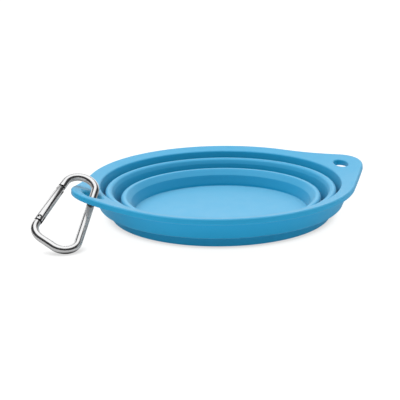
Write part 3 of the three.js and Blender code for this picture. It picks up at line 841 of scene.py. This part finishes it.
class Clip:
    """Lines and places of the carabiner, in its own plane: x along the tab, y up the lean."""

    def __init__(self, c):
        self.c = c
        self.spine = Vector((math.sin(c.spine_angle), math.cos(c.spine_angle)))
        self.gate = Vector((math.sin(c.gate_angle), math.cos(c.gate_angle)))
        self.bar = Vector((-math.cos(c.bar_angle), math.sin(c.bar_angle)))
        foot = Vector((c.spine_foot, 0))
        self.bow_to_spine = foot + self.spine * c.spine_to_bow
        self.bow_centre = self.bow_to_spine - self.right(self.spine) * c.bow_radius
        self.bow_to_gate = self.bow_centre - self.right(self.gate) * c.bow_radius
        spine_corner = foot - self.spine * c.spine_to_corner
        hinge_corner = self.meet(self.bow_to_gate, self.gate, spine_corner, self.bar)
        self.spine_bend = self.bend(spine_corner, -self.spine, self.bar, c.spine_bend)
        self.hinge_bend = self.bend(hinge_corner, self.bar, self.gate, c.hinge_bend)
        self.nose = (self.hinge_bend[1] - self.bow_to_gate).length - c.nose_length
        self.gate_from = c.hinge_shoulder + c.hinge_gap
        self.gate_to = self.nose - c.nose_gap

    @staticmethod
    def right(u):
        return Vector((u.y, -u.x))

    @staticmethod
    def meet(p, u, q, v):
        cross = u.x * v.y - u.y * v.x
        return p + u * (((q.x - p.x) * v.y - (q.y - p.y) * v.x) / cross)

    def bend(self, corner, into, out, radius):
        """Start, end and centre of a bend between two straight runs."""
        reach = radius * math.tan(0.5 * into.angle(out))
        start = corner - into * reach
        return start, corner + out * reach, start + self.right(into) * radius

    def on_gate(self, up, across=0.0):
        """A point on the gate's line, up from the hinge bend, and across towards the spine."""
        return self.hinge_bend[1] + self.gate * up + self.right(self.gate) * across

    def placed(self, piece):
        """Puts a piece from the carabiner's plane where the frame has it."""
        swivel, hinge = JOINTS["clip_swivel"], JOINTS["gate_hinge"]
        lean = math.atan2(hinge["axis"][1], -hinge["axis"][2])
        place = Vector(swivel["pos_m"]) - Vector((self.c.spine_foot, 0, 0))
        piece.data.transform(Matrix.Translation(place) @ Matrix.Rotation(lean, 4, "X"))


def flat_plate(name, points, thickness):
    """A plate in the carabiner's plane, from its outline."""
    piece = loop_of(name, [(p.x, p.y, -0.5 * thickness) for p in points], filled=True)
    edit_all(piece)
    bpy.ops.mesh.extrude_region_move(TRANSFORM_OT_translate={"value": (0, 0, thickness)})
    close_mesh(piece)
    return piece


def round_bar(name, start, end, radius, sides):
    """A round bar between two points."""
    run = end - start
    deselect_all()
    bpy.ops.mesh.primitive_cylinder_add(
        vertices=sides, radius=radius, depth=run.length, location=(start + end) / 2,
        rotation=run.to_track_quat("Z", "Y").to_euler(),
    )
    piece = bpy.context.object
    piece.name = name
    piece.data.name = name
    bpy.ops.object.transform_apply(location=True, rotation=True, scale=True)
    return piece


def pin_hole(clip, c):
    """A tool for the pin's hole, with its clearance."""
    pivot = clip.on_gate(c.pivot_up).to_3d()
    reach = Vector((0, 0, 2 * c.rod_radius))
    return round_bar("pin_hole", pivot - reach, pivot + reach, c.pin_radius + c.clearance, c.sides)


class BuildClipFrame(bpy.types.Operator):
    """Bent rod with its hinge tongue and nose blade"""

    bl_idname = "pet_bowl.clip_frame"
    bl_label = "Carabiner rod"

    def execute(self, context):
        c = clip_sizes()
        clip = Clip(c)
        piece = self.bent_rod(c, clip)
        root = c.hinge_shoulder - c.tongue_root
        tongue = self.tongue(clip, root, c.pivot_up, c.tongue_half_width, c.tongue_round)
        boolean(piece, flat_plate("hinge_tongue", tongue, c.tongue_thickness), "UNION")
        head = clip.nose - c.blade_length + c.blade_head
        blade = self.tongue(clip, clip.nose + c.tongue_root, head, c.blade_half_width, c.blade_head)
        boolean(piece, flat_plate("nose_blade", blade, c.tongue_thickness), "UNION")
        boolean(piece, pin_hole(clip, c), "DIFFERENCE")
        soften(piece, c.edge)
        close_mesh(piece)
        shade(piece, METAL_SMOOTH)
        clip.placed(piece)
        dress(piece, rod_material(), "clip_frame")
        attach(piece, "clip")
        return {"FINISHED"}

    def bent_rod(self, c, clip):
        """A ring drawn along the straight runs and spun round the bends."""
        start = clip.on_gate(c.hinge_shoulder).to_3d()
        deselect_all()
        bpy.ops.mesh.primitive_circle_add(
            vertices=c.sides, radius=c.rod_radius, location=start,
            rotation=clip.gate.to_3d().to_track_quat("Z", "Y").to_euler(),
        )
        piece = bpy.context.object
        piece.name = "carabiner_rod"
        piece.data.name = piece.name
        bpy.ops.object.transform_apply(location=True, rotation=True, scale=True)
        hinge_start, hinge_end, hinge_centre = clip.hinge_bend
        spine_start, spine_end, spine_centre = clip.spine_bend
        edit_all(piece)
        self.drawn(clip.on_gate(c.hinge_shoulder), hinge_end)
        self.spun(hinge_centre, hinge_end, hinge_start)
        self.drawn(hinge_start, spine_end)
        self.spun(spine_centre, spine_end, spine_start)
        self.drawn(spine_start, clip.bow_to_spine)
        self.spun(clip.bow_centre, clip.bow_to_spine, clip.bow_to_gate)
        self.drawn(clip.bow_to_gate, clip.on_gate(clip.nose))
        bpy.ops.mesh.select_mode(type="EDGE")
        bpy.ops.mesh.select_all(action="DESELECT")
        bpy.ops.mesh.select_non_manifold()
        bpy.ops.mesh.edge_face_add()
        bpy.ops.mesh.select_mode(type="VERT")
        close_mesh(piece)
        return piece

    def drawn(self, start, end):
        bpy.ops.mesh.extrude_region_move(TRANSFORM_OT_translate={"value": (end - start).to_3d()})

    def spun(self, centre, start, end):
        """Spins the open end round a bend, anticlockwise."""
        a, b = start - centre, end - centre
        sweep = (math.atan2(b.y, b.x) - math.atan2(a.y, a.x)) % (2 * math.pi)
        steps = round(math.degrees(sweep) / BEND_DEGREES)
        bpy.ops.mesh.spin(steps=steps, angle=-sweep, center=centre.to_3d(), axis=(0, 0, 1))

    def tongue(self, clip, root, head, half_width, radius):
        """Outline of a tongue on the gate's line: square at its root, round at its head."""
        away = 1 if head > root else -1
        opening = math.asin(half_width / radius)
        points = [clip.on_gate(root, -half_width), clip.on_gate(root, half_width)]
        for k in range(TONGUE_STEPS + 1):
            a = opening + (2 * math.pi - 2 * opening) * k / TONGUE_STEPS
            points.append(clip.on_gate(head - away * radius * math.cos(a), radius * math.sin(a)))
        return points


class BuildClipGate(bpy.types.Operator):
    """Slotted and bored gate of the carabiner"""

    bl_idname = "pet_bowl.clip_gate"
    bl_label = "Carabiner gate"

    def execute(self, context):
        c = clip_sizes()
        clip = Clip(c)
        start = clip.on_gate(clip.gate_from).to_3d()
        end = clip.on_gate(clip.gate_to).to_3d()
        piece = round_bar("carabiner_gate", start, end, c.gate_radius, c.sides)
        slot_end = clip.gate_from + c.hinge_slot
        latch_end = clip.gate_to - c.latch_slot
        boolean(piece, self.slot(c, clip, clip.gate_from - c.hinge_gap, slot_end), "DIFFERENCE")
        boolean(piece, self.slot(c, clip, latch_end, clip.gate_to + c.nose_gap), "DIFFERENCE")
        boolean(piece, self.notch(c, clip, latch_end + c.notch_half_width), "DIFFERENCE")
        boolean(piece, pin_hole(clip, c), "DIFFERENCE")
        bore_from = slot_end - c.clearance
        bore_start = clip.on_gate(bore_from).to_3d()
        bore_end = clip.on_gate(bore_from + c.bore_length).to_3d()
        bore = round_bar("gate_bore", bore_start, bore_end, c.bore_radius, c.sides)
        boolean(piece, bore, "DIFFERENCE")
        soften(piece, c.edge)
        close_mesh(piece)
        shade(piece, METAL_SMOOTH)
        clip.placed(piece)
        dress(piece, rod_material(), "clip_gate")
        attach(piece, "gate")
        return {"FINISHED"}

    def slot(self, c, clip, start, end):
        """A slot for the tongue or the blade, with its clearance."""
        wide = CUT_REACH * c.rod_radius
        corners = [(start, wide), (end, wide), (end, -wide), (start, -wide)]
        points = [clip.on_gate(*corner) for corner in corners]
        return flat_plate("gate_slot", points, c.tongue_thickness + 2 * c.clearance)

    def notch(self, c, clip, middle):
        """A small three-cornered notch in the outer side, beside the blade's head."""
        mouth = -c.gate_radius - 0.5 * c.notch_depth
        floor = c.notch_depth - c.gate_radius
        low, high = middle - c.notch_half_width, middle + c.notch_half_width
        corners = [(low, mouth), (middle, floor), (high, mouth)]
        points = [clip.on_gate(*corner) for corner in corners]
        return flat_plate("gate_notch", points, 2 * CUT_REACH * c.rod_radius)


class BuildGateFittings(bpy.types.Operator):
    """Hinge pin, and the finish of the spring and plunger inside the gate"""

    bl_idname = "pet_bowl.gate_fittings"
    bl_label = "Gate fittings"

    def execute(self, context):
        c = clip_sizes()
        clip = Clip(c)
        pivot = clip.on_gate(c.pivot_up).to_3d()
        reach = Vector((0, 0, 0.5 * c.pin_length))
        pin = round_bar("carabiner_pin", pivot - reach, pivot + reach, c.pin_radius, c.sides)
        soften(pin, c.pin_edge)
        close_mesh(pin)
        shade(pin, METAL_SMOOTH)
        clip.placed(pin)
        dress(pin, rod_material(), "gate_pin")
        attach(pin, "clip")
        for node in ("gate_spring", "gate_plunger"):
            kept = frame["nodes"][node]
            kept.data.materials.clear()
            kept.data.materials.append(steel_material())
        return {"FINISHED"}


# Values of the stage: places in metres, strengths as shares, ranges from low to high

WHITE = (1, 1, 1, 1)
CAMERA_NEAR = 0.01
FLOOR_SIZE = 6
FLOOR_DROP = 0.1 * MM
THROW_GREY = 0.92
THROW_GLOW = 0.14
MIRROR_GREY = 0.35
MIRROR_GLOW = 0.15
WHITE_GREY = 0.15
CONTACT_REACH = 4.5 * MM
CONTACT_BAND = (0.5, 0.95)
CONTACT_GLOW = (0.68, 0.96)
LAMPS = (("left_lamp", -1, 0.7), ("right_lamp", 1, 0.3))
LAMP_SIZE = 0.8
LAMP_ASIDE = 0.5
LAMP_BEHIND = 0.15
LAMP_HEIGHT = 0.85
SKY_BACK = 1.2
SKY_FRONT = 0.66
ROOM_COLOUR = (0.035, 0.035, 0.037, 1)
ROOM_NEAR = (-0.85, -0.6)
ROOM_TOP = (0.74, 0.88)


# Operator: the stage

class BuildStage(bpy.types.Operator):
    """Camera, white floor and soft studio light"""

    bl_idname = "pet_bowl.stage"
    bl_label = "Stage"

    def execute(self, context):
        t = context.scene.pet_bowl_stage
        context.scene.view_settings.view_transform = "Standard"
        self.camera(context, t)
        self.floor()
        self.lamps(t)
        self.sky(context, t)
        return {"FINISHED"}

    def camera(self, context, t):
        """The photo's camera, from its angles and the bowl's place in the picture."""
        turn = Matrix.Rotation(t.azimuth, 3, "Z")
        right = turn @ Vector((1, 0, 0))
        back = turn @ Vector((0, -math.cos(t.elevation), math.sin(t.elevation)))
        up = turn @ Vector((0, math.sin(t.elevation), math.cos(t.elevation)))
        reach = t.distance / t.focal
        eye = back * t.distance - right * t.offset_x * reach - up * t.offset_y * reach
        across = right * math.cos(t.roll) - up * math.sin(t.roll)
        upright = right * math.sin(t.roll) + up * math.cos(t.roll)
        data = bpy.data.cameras.new("camera")
        data.lens = t.focal * data.sensor_width
        data.clip_start = CAMERA_NEAR
        camera = bpy.data.objects.new("camera", data)
        context.scene.collection.objects.link(camera)
        axes = Matrix((across, upright, back)).transposed().to_4x4()
        camera.matrix_world = Matrix.Translation(eye) @ axes
        context.scene.camera = camera

    def floor(self):
        """A white floor: it shows the contact shadow, throws light up and is grey in mirrors."""
        deselect_all()
        bpy.ops.mesh.primitive_plane_add(size=FLOOR_SIZE, location=(0, 0, -FLOOR_DROP))
        floor = bpy.context.object
        floor.name = "stage_floor"
        material, nodes, links = new_material("white_floor")
        nodes.remove(nodes["Principled BSDF"])
        path = nodes.new("ShaderNodeLightPath").outputs
        contact = map_range(nodes, links, openness(nodes, CONTACT_REACH), CONTACT_BAND, CONTACT_GLOW)
        throw = self.lit(nodes, links, THROW_GREY, THROW_GLOW)
        mirror = self.lit(nodes, links, MIRROR_GREY, MIRROR_GLOW)
        white = self.lit(nodes, links, WHITE_GREY, contact)
        unseen = mix_shaders(nodes, links, path["Is Glossy Ray"], throw, mirror)
        surface = mix_shaders(nodes, links, path["Is Camera Ray"], unseen, white)
        links.new(surface, nodes["Material Output"].inputs["Surface"])
        floor.data.materials.append(material)

    def lit(self, nodes, links, grey, glow):
        """A plain grey surface with a glow of its own, a number or another node's output."""
        plain = nodes.new("ShaderNodeBsdfDiffuse")
        plain.inputs["Color"].default_value = (grey, grey, grey, 1)
        light = nodes.new("ShaderNodeEmission")
        feed(links, light.inputs["Strength"], glow)
        both = nodes.new("ShaderNodeAddShader")
        links.new(plain.outputs[0], both.inputs[0])
        links.new(light.outputs[0], both.inputs[1])
        return both.outputs[0]

    def seen_ray(self, nodes, links):
        """1 for rays from the camera and from glossy or clear surfaces."""
        path = nodes.new("ShaderNodeLightPath").outputs
        glossy = combine(nodes, links, "MAXIMUM", path["Is Camera Ray"], path["Is Glossy Ray"])
        return combine(nodes, links, "MAXIMUM", glossy, path["Is Transmission Ray"])

    def lamps(self, t):
        """Two large soft lamps, high on both sides and a little behind."""
        turn = Matrix.Rotation(t.azimuth, 3, "Z")
        for name, side, share in LAMPS:
            data = bpy.data.lights.new(name, "AREA")
            data.shape = "DISK"
            data.size = LAMP_SIZE
            data.energy = t.lamp_power * share
            lamp = bpy.data.objects.new(name, data)
            lamp.location = turn @ Vector((LAMP_ASIDE * side, LAMP_BEHIND, LAMP_HEIGHT))
            lamp.rotation_euler = Vector(lamp.location).to_track_quat("Z", "Y").to_euler()
            lamp.visible_glossy = False
            bpy.context.scene.collection.objects.link(lamp)

    def sky(self, context, t):
        """Light from all round, dimmer in front, seen as white, with a dark side for metal to mirror."""
        world = bpy.data.worlds.new("studio")
        world.use_nodes = True
        context.scene.world = world
        nodes, links = world.node_tree.nodes, world.node_tree.links
        light = nodes["Background"]
        light.inputs["Color"].default_value = WHITE
        strengths = (t.sky * SKY_BACK, t.sky * SKY_FRONT)
        strength = map_range(nodes, links, self.towards_camera(nodes, links, t), (-1.0, 1.0), strengths)
        links.new(strength, light.inputs["Strength"])
        shown = nodes.new("ShaderNodeBackground")
        room = mix_colours(nodes, links, self.dark_room(nodes, links, t), WHITE, ROOM_COLOUR)
        links.new(room, shown.inputs["Color"])
        seen = self.seen_ray(nodes, links)
        surface = mix_shaders(nodes, links, seen, light.outputs[0], shown.outputs[0])
        links.new(surface, nodes["World Output"].inputs["Surface"])

    def towards_camera(self, nodes, links, t):
        """From -1 at the back of the room to 1 at the picture's side of it."""
        facing = nodes.new("ShaderNodeVectorMath")
        facing.operation = "DOT_PRODUCT"
        facing.inputs[1].default_value = Matrix.Rotation(t.azimuth, 3, "Z") @ Vector((0, -1, 0))
        links.new(nodes.new("ShaderNodeTexCoord").outputs["Generated"], facing.inputs[0])
        return facing.outputs["Value"]

    def dark_room(self, nodes, links, t):
        """1 for mirror rays to the low sides and front of the room, 0 for all others."""
        parts = nodes.new("ShaderNodeSeparateXYZ")
        links.new(nodes.new("ShaderNodeTexCoord").outputs["Generated"], parts.inputs[0])
        near = map_range(nodes, links, self.towards_camera(nodes, links, t), ROOM_NEAR, smooth=True)
        low = map_range(nodes, links, parts.outputs["Z"], ROOM_TOP, (1.0, 0.0), smooth=True)
        both = combine(nodes, links, "MULTIPLY", near, low)
        path = nodes.new("ShaderNodeLightPath").outputs
        return combine(nodes, links, "MULTIPLY", both, path["Is Glossy Ray"])


class PetBowlPanel(bpy.types.Panel):
    """Lists the pieces of the bowl"""

    bl_idname = "VIEW3D_PT_pet_bowl"
    bl_label = "Pet Bowl"
    bl_space_type = "VIEW_3D"
    bl_region_type = "UI"
    bl_category = "Pet Bowl"

    def draw(self, context):
        for operator in OPERATORS:
            self.layout.operator(operator.bl_idname)


OPERATORS = (
    BuildStage,
    BuildBaseCup,
    BuildMidRing,
    BuildFoldWebs,
    BuildRimBand,
    BuildClipFrame,
    BuildClipGate,
    BuildGateFittings,
)
GROUPS = {
    "pet_bowl_sizes": BowlSizes,
    "pet_bowl_clip": CarabinerSizes,
    "pet_bowl_finishes": Finishes,
    "pet_bowl_stage": StageSettings,
}


def register():
    for kind in (*GROUPS.values(), *OPERATORS, PetBowlPanel):
        bpy.utils.register_class(kind)
    for name, group in GROUPS.items():
        setattr(bpy.types.Scene, name, PointerProperty(type=group))


def unregister():
    for name in GROUPS:
        delattr(bpy.types.Scene, name)
    for kind in reversed((*GROUPS.values(), *OPERATORS, PetBowlPanel)):
        bpy.utils.unregister_class(kind)


def main():
    register()
    bpy.ops.pet_bowl.stage()
    bpy.ops.pet_bowl.base_cup()
    bpy.ops.pet_bowl.mid_ring()
    bpy.ops.pet_bowl.fold_webs()
    bpy.ops.pet_bowl.rim_band()
    bpy.ops.pet_bowl.clip_frame()
    bpy.ops.pet_bowl.clip_gate()
    bpy.ops.pet_bowl.gate_fittings()


if __name__ == "__main__":
    main()
